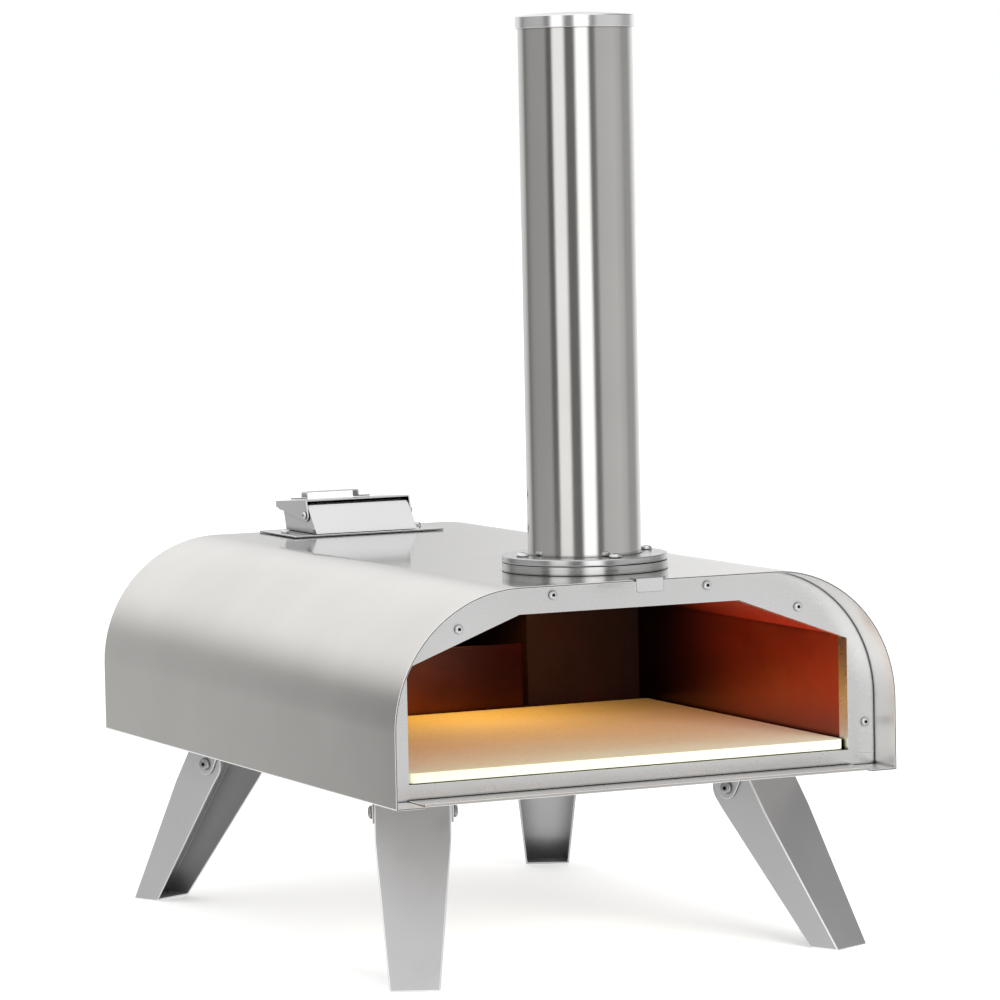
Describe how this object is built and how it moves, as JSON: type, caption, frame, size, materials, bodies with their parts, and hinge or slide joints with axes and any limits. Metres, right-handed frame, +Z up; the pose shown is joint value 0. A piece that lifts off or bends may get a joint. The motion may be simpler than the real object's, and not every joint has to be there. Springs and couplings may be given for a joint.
{
  "type": "wood fired pizza oven",
  "caption": "Portable outdoor pizza oven: rounded steel shell, stone floor, bolted chimney, rear pellet hopper and fuel tray, and folding channel legs.",
  "frame": {"origin": "on the ground under the middle of the oven's overall box", "axes": "+X to the right seen from the mouth, +Y from the mouth to the hopper, +Z up"},
  "size_m": [0.4, 0.6032, 0.6884],
  "materials": {
    "shell_steel": "satin stainless sheet",
    "panel_steel": "fine satin stainless sheet",
    "chimney_steel": "polished stainless tube with fine lengthwise brushing",
    "cap_steel": "polished",
    "flange_steel": "turned and brushed",
    "hopper_steel": "mirror-polished stainless sheet",
    "leg_steel": "satin grey sheet",
    "heated_steel": "heat-tinted stainless, red to brown",
    "sooted_steel": "sooted",
    "cordierite": "matt cream cordierite",
    "screw_steel": "bright button heads"
  },
  "bodies": {
    "oven_body": {"outer_shell": "shell_steel", "base_plate": "shell_steel", "door_catch_plate": "panel_steel", "front_panel": "panel_steel", "rear_panel": "panel_steel", "inner_liner": "heated_steel", "inner_rear_wall": "sooted_steel", "flame_baffle": "heated_steel", "burner_box": "sooted_steel", "pellet_duct": "sooted_steel", "chimney_flange_lower": "flange_steel", "chimney_flange_upper": "flange_steel", "chimney_pipe": "chimney_steel", "hopper_plate": "hopper_steel", "hopper_chute": "hopper_steel", "leg_bracket_front_right": "leg_steel", "leg_bracket_front_left": "leg_steel", "leg_bracket_rear_right": "leg_steel", "leg_bracket_rear_left": "leg_steel", "front_panel_screw_top_left": "screw_steel", "front_panel_screw_top_right": "screw_steel", "front_panel_screw_shoulder_left": "screw_steel", "front_panel_screw_shoulder_right": "screw_steel", "front_panel_screw_side_left": "screw_steel", "front_panel_screw_side_right": "screw_steel", "rear_panel_screw_top_left": "screw_steel", "rear_panel_screw_top_right": "screw_steel", "rear_panel_screw_bottom_left": "screw_steel", "rear_panel_screw_bottom_right": "screw_steel", "chimney_bolt_front": "screw_steel", "chimney_bolt_right": "screw_steel", "chimney_bolt_rear": "screw_steel", "chimney_bolt_left": "screw_steel", "leg_bolt_front_right_a": "screw_steel", "leg_bolt_front_right_b": "screw_steel", "leg_bolt_front_left_a": "screw_steel", "leg_bolt_front_left_b": "screw_steel", "leg_bolt_rear_right_a": "screw_steel", "leg_bolt_rear_right_b": "screw_steel", "leg_bolt_rear_left_a": "screw_steel", "leg_bolt_rear_left_b": "screw_steel", "hopper_plate_screw_left": "screw_steel", "hopper_plate_screw_right": "screw_steel", "lid_pivot_screw_left": "screw_steel", "lid_pivot_screw_right": "screw_steel"},
    "stone": {"pizza_stone": "cordierite"},
    "fuel_drawer": {"fuel_tray": "sooted_steel", "fire_grate": "sooted_steel", "fuel_door": "panel_steel", "tray_handle": "panel_steel", "tray_handle_rivet_left": "screw_steel", "tray_handle_rivet_right": "screw_steel"},
    "lid": {"hopper_lid": "hopper_steel", "lid_handle": "hopper_steel"},
    "cap": {"chimney_cap": "cap_steel"},
    "leg_front_right": {"leg_front_right": "leg_steel"},
    "leg_front_left": {"leg_front_left": "leg_steel"},
    "leg_rear_right": {"leg_rear_right": "leg_steel"},
    "leg_rear_left": {"leg_rear_left": "leg_steel"}
  },
  "joints": [
    {"name": "leg_fold_front_right", "type": "hinge", "parent": "oven_body", "child": "leg_front_right", "pos_m": [0.13781, -0.18873, 0.1153], "axis": [0.9078, 0.4195, 0], "range_deg": [0, 120]},
    {"name": "leg_fold_front_left", "type": "hinge", "parent": "oven_body", "child": "leg_front_left", "pos_m": [-0.13781, -0.18873, 0.1153], "axis": [0.9078, -0.4195, 0], "range_deg": [0, 120]},
    {"name": "leg_fold_rear_right", "type": "hinge", "parent": "oven_body", "child": "leg_rear_right", "pos_m": [0.13781, 0.16163, 0.1153], "axis": [-0.9078, 0.4195, 0], "range_deg": [0, 120]},
    {"name": "leg_fold_rear_left", "type": "hinge", "parent": "oven_body", "child": "leg_rear_left", "pos_m": [-0.13781, 0.16163, 0.1153], "axis": [-0.9078, -0.4195, 0], "range_deg": [0, 120]},
    {"name": "hopper_lid_hinge", "type": "hinge", "parent": "oven_body", "child": "lid", "pos_m": [0, 0.21795, 0.3], "axis": [1, 0, 0], "range_deg": [0, 95]},
    {"name": "chimney_cap_lift", "type": "slide", "parent": "oven_body", "child": "cap", "axis": [0, 0, 1], "range_m": [0, 0.06]},
    {"name": "fuel_tray_slide", "type": "slide", "parent": "oven_body", "child": "fuel_drawer", "axis": [0, 1, 0], "range_m": [0, 0.2]},
    {"name": "stone_slide", "type": "slide", "parent": "oven_body", "child": "stone", "axis": [0, -1, 0], "range_m": [0, 0.34]}
  ]
}
